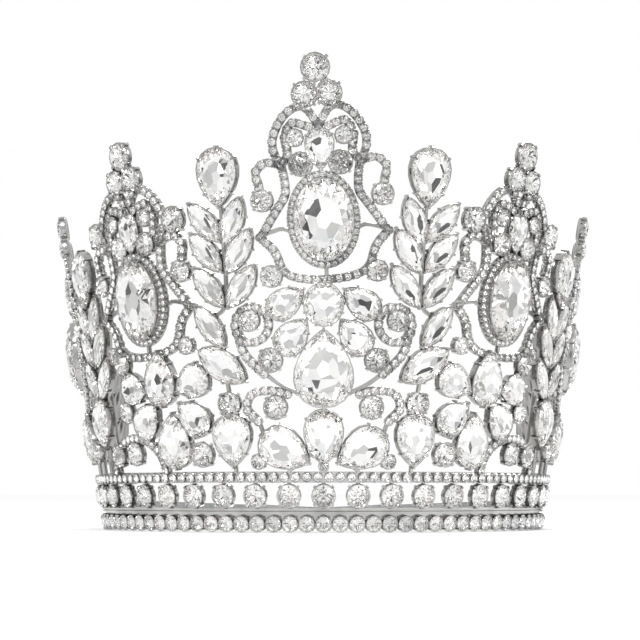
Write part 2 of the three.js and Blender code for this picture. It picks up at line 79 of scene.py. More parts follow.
# Wires and small stones. The grains between them stand off the line by a share of a stone's width,
# and the line keeps clear of the large stones by another. A short run, as a share of the pitch, gets
# one stone.
PAVE_WIRE = 2.576 * MM
PAVE_STONE = 2.35 * MM
PAVE_PITCH = 2.55 * MM
WIRE = 1.3 * MM
HALO_STONE = 1.75 * MM
HALO_PITCH = 2.05 * MM
HALO_WIRE = 2.1 * MM
WIRE_STEP = 1.1 * MM
WIRE_BACK = SHEET_BACK + 0.2 * MM
POST_SINK = 0.3 * MM
SMALL_WALL = 0.22 * MM
SMALL_SIDES = 10
GRAIN = 0.36 * MM
GRAIN_SINK = 0.3 * MM
GRAIN_STAND = 0.42
LINE_CLEARANCE = 0.25
SHORT_RUN = 0.6

# Main stones
OVAL = (18 * MM, 25 * MM)
FLOWER_PEAR = (18 * MM, 24 * MM)
LEAF = (7 * MM, 15.5 * MM)
SIDE_PETAL = (12.5 * MM, 17 * MM)

PEAK_HEIGHTS = [95 * MM, 73 * MM, 59 * MM]
SPRAY_HEIGHTS = [86 * MM, 60 * MM, 45 * MM]
FLOWER_HEIGHT = 50 * MM
SIDE_FLOWER_HEIGHT = 42 * MM
REAR_FAN_HEIGHT = 31 * MM
PEAK_LEANS = [math.radians(lean) for lean in (-3.3, 3, 2)]

BAY = OVAL[0] * 1.9 + LEAF[1] * 1.4
BAY_ANGLE = BAY / BASE_RADIUS
SPRAY_PLACE = 0.488
REAR_SPRAY_PLACE = 1.5
REAR_PEAK_PLACE = 2.06
END_SPRAY_PLACE = 2.58
END_ANGLE = BAY_ANGLE * 2.74


# The wall's axis lies behind the origin: the band's lowest outer corner nearest the front tells how far
def axis_depth():
    radius = BASE_RADIUS + SHEET_FRONT * math.cos(FLARE)
    corners = [v.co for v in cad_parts["base_band"].data.vertices if v.co.z < 0.01 * MM]
    nearest = min(corners, key=lambda co: (round(abs(co.x) / MM), co.y))
    return nearest.y + math.sqrt(radius ** 2 - nearest.x ** 2)


AXIS_Y = axis_depth()


# The camera comes first: level with the band, looking up at the peaks
def set_camera():
    data = bpy.data.cameras.new("camera")
    camera = bpy.data.objects.new("camera", data)
    bpy.context.scene.collection.objects.link(camera)
    camera.location = Vector((-2, -600, 12)) * MM
    target = Vector((-1, 0, 70)) * MM
    camera.rotation_euler = (target - camera.location).to_track_quat("-Z", "Y").to_euler()
    data.sensor_width = 36
    data.lens = 101
    data.clip_start = 0.01
    bpy.context.scene.camera = camera


# Places on the wall
def radius_at(height):
    return BASE_RADIUS + height * math.sin(FLARE)


def bend(points, angle):
    """Flat sheet (x along the wall, y up its slope, z out of it) onto the cone."""
    radius = radius_at(points[:, 1])
    turn = angle + points[:, 0] / radius
    level = math.cos(FLARE)
    reach = radius + points[:, 2] * level
    return np.column_stack((
        reach * np.sin(turn),
        AXIS_Y - reach * np.cos(turn),
        points[:, 1] * level - points[:, 2] * math.sin(FLARE),
    ))


def stand(points, angle, middle):
    """A rigid thing drawn round the sheet point middle, set square on the wall there."""
    facing = angle + middle[0] / radius_at(middle[1])
    origin = bend(np.array([[middle[0], middle[1], 0]]), angle)[0]
    normal = np.array([
        math.sin(facing) * math.cos(FLARE),
        -math.cos(facing) * math.cos(FLARE),
        -math.sin(FLARE),
    ])
    along = np.array([math.cos(facing), math.sin(facing), 0])
    up = np.cross(normal, along)
    return origin + points @ np.array([along, up, normal])


SHARP = math.radians(38)


# A work collects the faces of one piece, with a finish number for each face
class Work:
    def __init__(self):
        self.points = []
        self.faces = []
        self.finishes = []
        self.count = 0

    def add(self, points, faces, finishes=0):
        self.points.append(points)
        self.faces.extend([[i + self.count for i in face] for face in faces])
        self.finishes.extend(finishes if isinstance(finishes, list) else [finishes] * len(faces))
        self.count += len(points)

    def make(self, name, slot, materials, replaced=(), smooth=False):
        mesh = bpy.data.meshes.new(name)
        mesh.from_pydata(np.concatenate(self.points).tolist(), [], self.faces)
        for material in materials:
            mesh.materials.append(material)
        mesh.polygons.foreach_set("material_index", self.finishes)
        piece = bpy.data.objects.new(name, mesh)
        bpy.context.scene.collection.objects.link(piece)
        build = bmesh.new()
        build.from_mesh(mesh)
        bmesh.ops.recalc_face_normals(build, faces=build.faces)
        build.to_mesh(mesh)
        build.free()
        if smooth:
            mesh.shade_smooth()
            mesh.set_sharp_from_angle(angle=SHARP)
        else:
            mesh.shade_flat()
        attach(piece, "root")
        if replaced:
            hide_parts(*replaced)
        return piece


# Outlines of the cuts, with the long axis up and the tip of a pear at the top
PEAR_TAPER = 0.6
PEAR_WIDEST = math.acos(-PEAR_TAPER / (2 + PEAR_TAPER))
PEAR_FULL = 1 / (math.sin(PEAR_WIDEST) * math.sin(PEAR_WIDEST / 2) ** PEAR_TAPER)


def outline(cut, turn):
    across = np.cos(turn)
    if cut == "pear":
        across = PEAR_FULL * across * np.abs(np.sin((math.pi / 2 - turn) / 2)) ** PEAR_TAPER
    if cut == "marquise":
        across = np.sign(across) * np.abs(across) ** 1.45
    return np.column_stack((across, np.sin(turn)))


# How many main facets a cut has round its table
MAINS = {"round": 8, "oval": 12, "pear": 10, "marquise": 8}


def ring(cut, mains, shift, share, size, height, grow=0.0):
    turn = math.pi / 2 + (np.arange(mains) + shift) * 2 * math.pi / mains
    flat = outline(cut, turn) * (np.array(size) / 2 + grow) * share
    return np.column_stack((flat, np.full(mains, height)))


def turned(points, spin):
    cos, sin = math.cos(spin), math.sin(spin)
    x, y = points[:, 0] * cos - points[:, 1] * sin, points[:, 0] * sin + points[:, 1] * cos
    return np.column_stack((x, y, points[:, 2]))


# Shares of a stone's width
TABLE = 0.55
STAR = 0.8
STAR_RISE = 0.6
ROUND_RISE = 0.17
FANCY_RISE = 0.16
DEPTH = 0.34
OUTER_STEP = 0.038
INNER_STEP = 0.018
STEP_RINGS = (0.6, 0.24)
HALVES_RING = 0.45
HALVES_DROP = 0.7
STONE_FOOT = SHEET_FRONT + SEAT_GAP
FRONT_OF = 0.26
FUSED_TOP = 0.15 * MM
PAVE_TOP = -0.75 * MM
CUP_BACK = SHEET_BACK + 0.15 * MM
CUP_FLOOR = CUP_BACK + 0.3 * MM


def stone_heights(cut, size, top):
    """Heights of a stone's table, girdle and point above the wall's line."""
    width = min(size)
    girdle = top - (ROUND_RISE if cut == "round" else FANCY_RISE) * width
    return top, girdle, max(girdle - DEPTH * width, CUP_FLOOR + 0.15 * MM)


def pointed_back(cut, n, size, girdle, point, g, p):
    """Mains and halves that meet in a point, for the lively look of a round stone."""
    inner = girdle + (point - girdle) * HALVES_DROP
    points = np.concatenate((ring(cut, n, 0.5, HALVES_RING, size, inner), [[0, 0, point]]))
    tip = p + n
    faces = []
    for k in range(n):
        before = (k - 1) % n
        mid, far = g + 2 * k + 1, g + (2 * k + 2) % (2 * n)
        faces += [
            [g + 2 * k, p + k, mid],
            [mid, p + k, far],
            [g + 2 * k, p + before, tip],
            [g + 2 * k, tip, p + k],
        ]
    return points, faces


def stepped_back(cut, n, size, girdle, g, p):
    """A shallow back in two steps round a flat middle, for the wide calm facets of a fancy stone."""
    half, width = n // 2, min(size)
    outer = girdle - OUTER_STEP * width
    points = np.concatenate((
        ring(cut, half, 0.25, STEP_RINGS[0], size, outer),
        ring(cut, half, 0.25, STEP_RINGS[1], size, outer - INNER_STEP * width),
    ))
    faces = [[p + half + k for k in range(half)]]
    for k in range(half):
        after = (k + 1) % half
        rim = [g + (4 * k + 1 + j) % (2 * n) for j in range(5)]
        faces += [
            [p + k, rim[0], rim[1]],
            [p + k, rim[1], rim[2]],
            [p + k, rim[2], p + after],
            [p + after, rim[2], rim[3]],
            [p + after, rim[3], rim[4]],
            [p + k, p + after, p + half + after, p + half + k],
        ]
    return points, faces


def brilliant(work, place, cut, size, top, spin):
    """Table, stars, kites and halves of clear glass over a foiled back."""
    n = MAINS[cut]
    table, girdle, point = stone_heights(cut, size, top)
    points = np.concatenate((
        ring(cut, n, 0, TABLE, size, table),
        ring(cut, n, 0.5, STAR, size, girdle + (table - girdle) * STAR_RISE),
        ring(cut, 2 * n, 0, 1, size, girdle),
    ))
    t, s, g, p = 0, n, 2 * n, 4 * n
    faces = [list(range(n))]
    for k in range(n):
        after, before = (k + 1) % n, (k - 1) % n
        mid, far = g + 2 * k + 1, g + (2 * k + 2) % (2 * n)
        faces += [
            [t + k, s + k, t + after],
            [t + k, s + before, g + 2 * k],
            [t + k, g + 2 * k, s + k],
            [s + k, g + 2 * k, mid],
            [s + k, mid, far],
        ]
    if cut == "round":
        foil, (behind, backs) = 2, pointed_back(cut, n, size, girdle, point, g, p)
    else:
        foil, (behind, backs) = 1, stepped_back(cut, n, size, girdle, g, p)
    points = np.concatenate((points, behind))
    work.add(place(turned(points, spin)), faces + backs, [0] * len(faces) + [foil] * len(backs))


def small_brilliant(work, place, size, top):
    """A round stone of the finest sort: a table, eight facets and a foiled back."""
    n = 8
    table, girdle, point = stone_heights("round", (size, size), top)
    points = np.concatenate((
        ring("round", n, 0, TABLE, (size, size), table),
        ring("round", n, 0.5, 1, (size, size), girdle),
        [[0, 0, point]],
    ))
    faces = [list(range(n))]
    for k in range(n):
        after = (k + 1) % n
        faces += [[k, n + k, after], [after, n + k, n + after]]
    clear = len(faces)
    faces += [[n + k, 2 * n, n + (k + 1) % n] for k in range(n)]
    work.add(place(points), faces, [0] * clear + [2] * n)


# Settings: the cup's own heights and shares, and a claw's
CUP_SHOULDER = 0.5 * MM
CUP_FOOT = 0.8
CUP_INSIDE = 0.985
LIP_RISE = 0.12 * MM
LIP_BEVEL = 0.15 * MM
CLAW = 0.8 * MM
ROUND_CLAW = 0.13
CLAW_OUTSIDE = 0.35
CLAW_REACH = 0.86
CLAW_LOW = 0.6 * MM
CLAW_HIGH = 0.2 * MM


def cup(work, place, cut, size, girdle, wall, spin=0.0, sides=None):
    """A closed cup with a thin lip that holds a stone by its girdle."""
    n = sides or 2 * MAINS[cut]
    lip = girdle + LIP_RISE
    points = np.concatenate((
        ring(cut, n, 0, CUP_FOOT, size, CUP_BACK, wall),
        ring(cut, n, 0, 1, size, CUP_BACK + CUP_SHOULDER, wall * 0.8),
        ring(cut, n, 0, 1, size, lip - LIP_BEVEL, wall),
        ring(cut, n, 0, 1, size, lip, wall * 0.75),
        ring(cut, n, 0, CUP_INSIDE, size, lip, 0),
        ring(cut, n, 0, CUP_INSIDE, size, CUP_FLOOR, 0),
    ))
    faces = [list(range(n)), list(range(5 * n, 6 * n))]
    for level in range(5):
        low = level * n
        faces += [[low + k, low + (k + 1) % n, low + n + (k + 1) % n, low + n + k] for k in range(n)]
    work.add(place(turned(points, spin)), faces)


def claw(work, place, foot, tip, width, low, high):
    """A claw that rises beside a stone and folds over its girdle, from foot to tip in the sheet."""
    foot, tip = np.array(foot), np.array(tip)
    inward = (tip - foot) / np.linalg.norm(tip - foot)
    side = np.array([-inward[1], inward[0]]) * width / 2
    rows = [
        (foot - inward * width * 0.5, low, 1.0),
        (foot - inward * width * 0.5, high, 0.9),
        (foot + inward * width * 0.1, high + width * 0.35, 0.75),
        (tip, high + width * 0.25, 0.45),
    ]
    points = []
    for middle, height, share in rows:
        for way, drop in ((-1, 0), (1, 0)):
            points.append([*(middle + side * way * share), height - drop])
    points += [[*(tip - side * 0.45), high - width * 0.15], [*(tip + side * 0.45), high - width * 0.15]]
    points += [[*(foot + side), low], [*(foot - side), low]]
    faces = [
        [0, 1, 3, 2], [2, 3, 5, 4], [4, 5, 7, 6], [6, 7, 9, 8],
        [8, 9, 10, 11], [0, 11, 10, 1], [1, 10, 9, 7, 5, 3], [0, 2, 4, 6, 8, 11],
    ]
    work.add(place(np.array(points)), faces)


def claws(work, place, cut, size, girdle, turns, spin, width):
    """Claws at the given shares of a full turn, counted from the tip."""
    for share in turns:
        turn = np.array([math.pi / 2 + share * 2 * math.pi])
        unit = outline(cut, turn)[0]
        foot = unit * (np.array(size) / 2 + width * CLAW_OUTSIDE)
        tip = unit * (np.array(size) / 2 * CLAW_REACH)
        pair = turned(np.array([[*foot, 0], [*tip, 0]]), spin)
        claw(work, place, pair[0][:2], pair[1][:2], width, CUP_BACK + CLAW_LOW, girdle + CLAW_HIGH)


CLAWS = {
    "round": [0.125, 0.375, 0.625, 0.875],
    "oval": [0.06, 0.19, 0.31, 0.44, 0.56, 0.69, 0.81, 0.94],
    "pear": [0.0, 0.16, 0.36, 0.5, 0.64, 0.84],
    "marquise": [0.0, 0.2, 0.3, 0.5, 0.7, 0.8],
}


def bead(work, place, middle, radius, height):
    """A small round grain of metal."""
    points = []
    for rise, share in ((0.9, 0.45), (0.2, 1.0), (-0.9, 0.8)):
        for k in range(6):
            turn = (k + (0.5 if share == 1.0 else 0)) * math.pi / 3
            points.append([
                middle[0] + math.cos(turn) * radius * share,
                middle[1] + math.sin(turn) * radius * share,
                height + rise * radius,
            ])
    faces = [[0, 1, 2, 3, 4, 5], [17, 16, 15, 14, 13, 12]]
    for low in (0, 6):
        other = low + 6
        for k in range(6):
            after = (k + 1) % 6
            if low == 0:
                faces += [[low + k, other + k, low + after], [low + after, other + k, other + after]]
            else:
                faces += [[low + k, other + after, low + after], [low + k, other + k, other + after]]
    work.add(place(np.array(points)), faces)


# Lines through points of the sheet
def smooth_line(path, step):
    """A Catmull-Rom line through the points, as evenly spaced points and directions."""
    path = np.array(path, dtype=float)
    if len(path) == 2:
        fine = path[0] + np.linspace(0, 1, 24)[:, None] * (path[1] - path[0])
    else:
        ends = np.vstack((2 * path[0] - path[1], path, 2 * path[-1] - path[-2]))
        share = np.linspace(0, 1, 16, endpoint=False)[:, None]
        runs = []
        for a, b, c, d in zip(ends, ends[1:], ends[2:], ends[3:]):
            runs.append(0.5 * (2 * b + (c - a) * share + (2 * a - 5 * b + 4 * c - d) * share ** 2
                               + (3 * b - 3 * c + d - a) * share ** 3))
        fine = np.vstack((*runs, path[-1]))
    lengths = np.concatenate(([0], np.cumsum(np.linalg.norm(np.diff(fine, axis=0), axis=1))))
    count = max(2, round(lengths[-1] / step) + 1)
    at = np.linspace(0, lengths[-1], count)
    points = np.column_stack([np.interp(at, lengths, fine[:, i]) for i in (0, 1)])
    along = np.gradient(points, axis=0)
    return points, along / np.linalg.norm(along, axis=1)[:, None]


# A wire's rounded section, as shares of half its width and of its thickness from the front
SECTION = [(-1, 0.7), (-0.75, 1), (0.75, 1), (1, 0.7), (1, 0.25), (0.6, 0), (-0.6, 0), (-1, 0.25)]


def wire(work, angle, path, width, closed=False):
    line, along = smooth_line(path, WIRE_STEP)
    if closed:
        line, along = line[:-1], along[:-1]
    side = np.column_stack((-along[:, 1], along[:, 0]))
    points = []
    thick = SHEET_FRONT - WIRE_BACK
    for middle, across in zip(line, side):
        for share, rise in SECTION:
            points.append([*(middle + across * share * width / 2), WIRE_BACK + rise * thick])
    n, steps = len(SECTION), len(line)
    faces = []
    for i in range(steps if closed else steps - 1):
        low, high = i * n, ((i + 1) % steps) * n
        faces += [[low + k, low + (k + 1) % n, high + (k + 1) % n, high + k] for k in range(n)]
    if not closed:
        faces += [list(range(n)), list(range((steps - 1) * n, steps * n))]
    work.add(bend(np.array(points), angle), faces)


def ellipse(middle, across, up, count=32):
    turn = np.linspace(0, 2 * math.pi, count + 1)
    return np.column_stack((middle[0] + across * np.cos(turn), middle[1] + up * np.sin(turn)))


# A bench holds what is made for one panel: its metal, its stones, the lines that wait for small
# stones, and the places and half widths of the large ones
class Bench:
    def __init__(self, angle, metal=None, stones=None):
        self.angle = angle
        self.metal = metal or Work()
        self.stones = stones or Work()
        self.lines = []
        self.held = []

    def place(self, middle):
        return lambda points: stand(points, self.angle, middle)

    def small_stone(self, middle, size, top=PAVE_TOP):
        """A small stone in its own cup."""
        place = self.place(middle)
        girdle = stone_heights("round", (size, size), top)[1]
        small_brilliant(self.stones, place, size, top)
        cup(self.metal, place, "round", (size, size), girdle, SMALL_WALL, sides=SMALL_SIDES)

    def pave(self, path, stone=PAVE_STONE, pitch=PAVE_PITCH, width=PAVE_WIRE, closed=False):
        """A wire for a line of small stones, which are laid when the panel's large ones are in."""
        wire(self.metal, self.angle, path, width, closed=closed)
        self.lines.append((path, stone, pitch, closed))

    def is_free(self, middle, reach):
        """Clear of every large stone, each taken as round and as wide as its shorter side."""
        return all(np.linalg.norm(middle - other) > radius + reach for other, radius in self.held)

    def free_runs(self, path, reach):
        """The stretches of a line that keep clear of the large stones."""
        fine = smooth_line(path, reach / 3)[0]
        for free, run in itertools.groupby(fine, key=lambda spot: self.is_free(spot, reach)):
            run = list(run)
            if free and len(run) > 2:
                yield run

    def lay_small_stones(self):
        """The small stones of every line, evenly spaced in each free run, with grains between them."""
        for path, stone, pitch, closed in self.lines:
            for run in self.free_runs(path, stone * LINE_CLEARANCE):
                length = sum(np.linalg.norm(b - a) for a, b in zip(run, run[1:]))
                if length < pitch * SHORT_RUN:
                    self.small_stone(run[len(run) // 2], stone)
                    continue
                line, along = smooth_line(run, pitch)
                for middle in line[:-1] if closed else line:
                    self.small_stone(middle, stone)
                for before, after, way in zip(line, line[1:], along):
                    side = np.array([-way[1], way[0]]) * stone * GRAIN_STAND
                    for hand in (-1, 1):
                        spot = (before + after) / 2 + side * hand
                        bead(self.metal, self.place(spot), (0, 0), GRAIN, PAVE_TOP - GRAIN_SINK)

    def set_stone(self, work, middle, spin, cut, size, top, wall=RIM * 0.5, claw_width=CLAW):
        place = self.place(middle)
        self.held.append((np.array(middle), min(size) / 2))
        girdle = stone_heights(cut, size, top)[1]
        brilliant(work, place, cut, size, top, spin)
        cup(self.metal, place, cut, size, girdle, wall, spin)
        claws(self.metal, place, cut, size, girdle, CLAWS[cut], spin, claw_width)


# Finishes
def surface_group():
    """Fine wear: a roughness that wanders between two values, a stain mask and a height for bump."""
    group = bpy.data.node_groups.new("fine_wear", "ShaderNodeTree")
    face = group.interface
    for name, value in (("Scale", 300.0), ("Smooth", 0.1), ("Rough", 0.3)):
        face.new_socket(name, in_out="INPUT", socket_type="NodeSocketFloat").default_value = value
    for name in ("Roughness", "Stain", "Height"):
        face.new_socket(name, in_out="OUTPUT", socket_type="NodeSocketFloat")
    nodes, links = group.nodes, group.links
    entry, leave = nodes.new("NodeGroupInput"), nodes.new("NodeGroupOutput")
    place = nodes.new("ShaderNodeTexCoord")
    noise = nodes.new("ShaderNodeTexNoise")
    noise.inputs["Detail"].default_value = 6
    fine = nodes.new("ShaderNodeTexNoise")
    fine.inputs["Scale"].default_value = 2600
    stain = nodes.new("ShaderNodeTexNoise")
    stain.inputs["Scale"].default_value = 130
    stain.inputs["Detail"].default_value = 5
    spread = nodes.new("ShaderNodeMapRange")
    mask = nodes.new("ShaderNodeMapRange")
    mask.inputs["From Min"].default_value = 0.45
    mask.inputs["From Max"].default_value = 0.75
    for texture in (noise, fine, stain):
        links.new(place.outputs["Object"], texture.inputs["Vector"])
    links.new(entry.outputs["Scale"], noise.inputs["Scale"])
    links.new(noise.outputs["Fac"], spread.inputs["Value"])
    links.new(entry.outputs["Smooth"], spread.inputs["To Min"])
    links.new(entry.outputs["Rough"], spread.inputs["To Max"])
    links.new(stain.outputs["Fac"], mask.inputs["Value"])
    links.new(spread.outputs["Result"], leave.inputs["Roughness"])
    links.new(mask.outputs["Result"], leave.inputs["Stain"])
    links.new(fine.outputs["Fac"], leave.inputs["Height"])
    return group


WEAR = surface_group()


def finish_of(name, scale, smooth, rough, clean, stained, bump, **settings):
    """A worn finish between two colours. Uniform settings go on the shader itself."""
    material = bpy.data.materials.new(name)
    material.use_nodes = True
    nodes, links = material.node_tree.nodes, material.node_tree.links
    shader = nodes["Principled BSDF"]
    for socket, value in settings.items():
        shader.inputs[socket.replace("_", " ")].default_value = value
    wear = nodes.new("ShaderNodeGroup")
    wear.node_tree = WEAR
    wear.inputs["Scale"].default_value = scale
    wear.inputs["Smooth"].default_value = smooth
    wear.inputs["Rough"].default_value = rough
    mix = nodes.new("ShaderNodeMix")
    mix.data_type = "RGBA"
    mix.inputs["A"].default_value = (*clean, 1)
    mix.inputs["B"].default_value = (*stained, 1)
    links.new(wear.outputs["Stain"], mix.inputs["Factor"])
    links.new(mix.outputs["Result"], shader.inputs["Base Color"])
    links.new(wear.outputs["Roughness"], shader.inputs["Roughness"])
    if bump:
        relief = nodes.new("ShaderNodeBump")
        relief.inputs["Strength"].default_value = bump
        relief.inputs["Distance"].default_value = 0.05 * MM
        links.new(wear.outputs["Height"], relief.inputs["Height"])
        links.new(relief.outputs["Normal"], shader.inputs["Normal"])
    return material


def ripple(material, around, upright, strength):
    """Shallow upright waves, as in rolled strip, added under the finish's own relief."""
    nodes, links = material.node_tree.nodes, material.node_tree.links
    place, stretch = nodes.new("ShaderNodeTexCoord"), nodes.new("ShaderNodeMapping")
    waves, relief = nodes.new("ShaderNodeTexNoise"), nodes.new("ShaderNodeBump")
    stretch.inputs["Scale"].default_value = (around, around, upright)
    waves.inputs["Scale"].default_value = 1
    waves.inputs["Detail"].default_value = 3
    relief.inputs["Strength"].default_value = strength
    relief.inputs["Distance"].default_value = 0.4 * MM
    links.new(place.outputs["Object"], stretch.inputs["Vector"])
    links.new(stretch.outputs["Vector"], waves.inputs["Vector"])
    links.new(waves.outputs["Fac"], relief.inputs["Height"])
    fine = next(node for node in nodes if node.type == "BUMP" and node != relief)
    links.new(relief.outputs["Normal"], fine.inputs["Normal"])


SILVER = finish_of(
    "silver", scale=420, smooth=0.1, rough=0.26,
    clean=(0.47, 0.467, 0.46), stained=(0.3, 0.297, 0.29), bump=0.15, Metallic=1.0,
)
GLASS = finish_of(
    "clear_glass", scale=200, smooth=0.0, rough=0.002,
    clean=(1.0, 1.0, 1.0), stained=(0.93, 0.95, 0.97), bump=0,
    Metallic=0.0, Transmission_Weight=1.0, IOR=1.52,
)
ROUND_FOIL = finish_of(
    "round_foil", scale=260, smooth=0.0, rough=0.02,
    clean=(0.93, 0.925, 0.915), stained=(0.76, 0.757, 0.75), bump=0, Metallic=1.0,
)
FOIL = finish_of(
    "foil", scale=260, smooth=0.0, rough=0.004,
    clean=(0.955, 0.95, 0.94), stained=(0.89, 0.885, 0.87), bump=0, Metallic=1.0,
)
STEEL = finish_of(
    "spring_steel", scale=150, smooth=0.12, rough=0.28,
    clean=(0.6, 0.61, 0.62), stained=(0.42, 0.43, 0.44), bump=0.2, Metallic=1.0,
)
ripple(STEEL, around=420, upright=16, strength=0.7)


# A motif draws one part of a panel. Its tables give places as shares of its own unit.
class Motif:
    def __init__(self, bench, hand, height, unit, lean=0.0):
        self.bench, self.hand, self.height, self.unit, self.lean = bench, hand, height, unit, lean

    def at(self, across, up):
        x, y = across * self.unit[0], up * self.unit[1]
        cos, sin = math.cos(self.lean), math.sin(self.lean)
        return np.array([self.hand * (x * cos + y * sin), self.height + y * cos - x * sin])

    def line(self, path):
        return [self.at(across, up) for across, up in path]

    def turned(self, spin):
        return self.hand * (math.radians(spin) - self.lean)

    def wire(self, path, width=WIRE):
        wire(self.bench.metal, self.bench.angle, self.line(path), width)

    def pave(self, path):
        self.bench.pave(self.line(path))

    def round(self, across, up, size):
        width = size * self.unit[0]
        self.bench.set_stone(
            self.bench.stones, self.at(across, up), 0, "round", (width, width), FUSED_TOP,
            wall=RIM * 0.6, claw_width=width * ROUND_CLAW,
        )

    def fancy(self, work, across, up, spin, cut, width, length):
        size = (width * self.unit[0], length * self.unit[1])
        top = STONE_FOOT + FRONT_OF * size[0]
        self.bench.set_stone(work, self.at(across, up), self.turned(spin), cut, size, top)

    def fused(self, *drawing):
        """A stone that belongs to the panel."""
        self.fancy(self.bench.stones, *drawing)

    def stone(self, node, *drawing):
        """A main stone, which stands for a node of its own."""
        work = Work()
        self.fancy(work, *drawing)
        work.make(f"{node}_stone", "crystal", [GLASS, FOIL], [node])

    def post(self, across, up):
        top = self.at(across, up)
        foot = (top[0], BAND_TOP - POST_SINK)
        wire(self.bench.metal, self.bench.angle, [top, foot], WIRE)


def finish_panel(bench, node):
    """Lays the small stones and makes the panel's two pieces."""
    bench.lay_small_stones()
    bench.metal.make(f"{node}_metal", "metal", [SILVER], [node], smooth=True)
    bench.stones.make(f"{node}_small_stones", "crystal", [GLASS, FOIL, ROUND_FOIL])


# The peak. Places are shares of the oval's width across and of its length up, for the right half.
PEAK_LOBE = [[0, 1.12], [0.17, 1.32], [0.36, 1.37], [0.61, 1.26], [0.79, 1.04], [0.8, 0.86], [0.69, 0.67]]
PEAK_EAR = [[0.74, 0.7], [0.97, 0.73], [1.14, 0.62], [1.1, 0.49], [1.06, 0.32]]
PEAK_SHOULDER = [[0.67, 0.66], [0.63, 0.48], [0.64, 0.32], [0.76, 0.19], [0.93, 0.02], [1.07, -0.13]]
PEAK_CRESCENT = [[1.12, -0.16], [0.88, -0.34], [0.76, -0.56], [0.59, -0.66], [0.3, -0.71], [0.05, -0.72]]
PEAK_LINE = [[1.05, -0.13], [0.75, -0.08], [0.6, -0.11]]
PEAK_CURL = [[0.17, 1.12], [0.46, 1.18], [0.6, 1.0], [0.55, 0.84], [0.64, 0.72]]
LOBE_TOP = 1.37
PEAK_ROUNDS = [
    (0.34, 0.68, 0.39),
    (1.04, 0.28, 0.36),
    (0.42, 1.0, 0.28),
]
HALO = (10.3 * MM, 13.8 * MM)
HALO_STEPS = 48
CREST_PEAR = (0, 0.85, 180, "pear", 0.48, 0.5)
# The three rounds on top: rise above the lobe as a share of the oval's width, and size
TREFOIL_TOP = (0.632, 0.47)
TREFOIL_SIDE = (0.194, 0.42)
TREFOIL_ACROSS = 0.21


def peak(motif, oval_node, pear_node):
    bench = motif.bench
    loop = ellipse((0, 0), *HALO, HALO_STEPS)
    level = np.column_stack((loop, np.zeros(len(loop))))
    halo = turned(level, motif.turned(0))[:, :2] + motif.at(0, 0)
    bench.pave(halo, HALO_STONE, HALO_PITCH, HALO_WIRE, closed=True)
    motif.stone(oval_node, 0, 0, 0, "oval", 1, 1)
    if pear_node:
        motif.stone(pear_node, *CREST_PEAR)
    else:
        motif.fused(*CREST_PEAR)
    motif.wire([[0, -0.58], [0, -0.75]])
    share = OVAL[0] / OVAL[1]
    motif.round(0, LOBE_TOP + TREFOIL_TOP[0] * share, TREFOIL_TOP[1])
    for side in (1, -1):
        motif.round(side * TREFOIL_ACROSS, LOBE_TOP + TREFOIL_SIDE[0] * share, TREFOIL_SIDE[1])
        for path in (PEAK_LOBE, PEAK_EAR, PEAK_SHOULDER, PEAK_CRESCENT, PEAK_CURL):
            motif.pave([[side * across, up] for across, up in path])
        motif.wire([[side * across, up] for across, up in PEAK_LINE])
        for across, up, size in PEAK_ROUNDS:
            motif.round(side * across, up, size)


# The flower under the front peak. Places are shares of its big pear.
FLOWER_PETALS = [
    ("upper", 0.645, 0.84, 54, 0.5, 0.54),
    ("lower", 0.53, 0.41, 40, 0.53, 0.54),
    ("foot", 0.66, -1.025, 120, 0.7, 0.7),
]
FLOWER_ROUNDS = [
    (1.3, 0.62, 0.36),
    (0.92, 0.11, 0.4),
    (0.83, -0.49, 0.39),
    (1.12, -1.175, 0.24),
]
FLOWER_PAVE = [
    [[1.5, 0.46], [1.46, 0.32], [1.39, 0.19], [1.26, 0.08], [1.03, -0.07]],
    [[0.62, -0.33], [0.88, -0.28], [1.2, -0.3], [1.33, -0.4], [1.34, -0.52], [1.14, -0.67]],
]
FLOWER_WIRES = [
    [[1.06, -0.05], [0.75, -0.21], [0.4, -0.33]],
    [[1.14, -0.67], [1.02, -0.9]],
    [[0.7, -1], [0, -1.15]],
]
CURL = (1.255, 0.5625, 0.305)


def flower(motif):
    motif.stone("flower_pear", 0, 0, 0, "pear", 1, 0.98)
    motif.stone("flower_middle", 0, 0.81, 0, "oval", 0.66, 0.54)
    motif.stone("flower_drop", 0, -0.87, 180, "pear", 0.66, 0.7)
    motif.round(0, -1.24, 0.15)
    motif.post(0, -1.2)
    for side in (1, -1):
        hand = "right" if side > 0 else "left"
        for name, across, up, spin, width, length in FLOWER_PETALS:
            motif.stone(f"{name}_petal_{hand}", side * across, up, side * spin, "pear", width, length)
        for across, up, size in FLOWER_ROUNDS:
            motif.round(side * across, up, size)
        for path in FLOWER_PAVE:
            motif.pave([[side * across, up] for across, up in path])
        for path in FLOWER_WIRES:
            motif.wire([[side * across, up] for across, up in path])
        middle = motif.at(side * CURL[0], CURL[1])
        reach = CURL[2] * motif.unit[0]
        motif.bench.pave(ellipse(middle, reach, reach), closed=True)
        motif.post(side * 0.6, -1.1)


# A spray. Places are shares of a leaf's length. The last leaf is only in the front sprays.
LEAVES = [
    (-0.26, 0.59, 22),
    (0.35, 0.59, -40),
    (-0.35, 0, 32),
    (0.35, 0, -40),
    (-0.37, -0.69, 36),
    (0.33, -0.69, -38),
    (0.36, -1.46, -35),
]
SPRAY_PEAR = (0, 1.46, 180, "pear", 0.84, 1.16)
STEM = [[0, 1], [0, -0.9], [0.26, -1.3], [0.2, -1.75], [0.16, -2.2]]


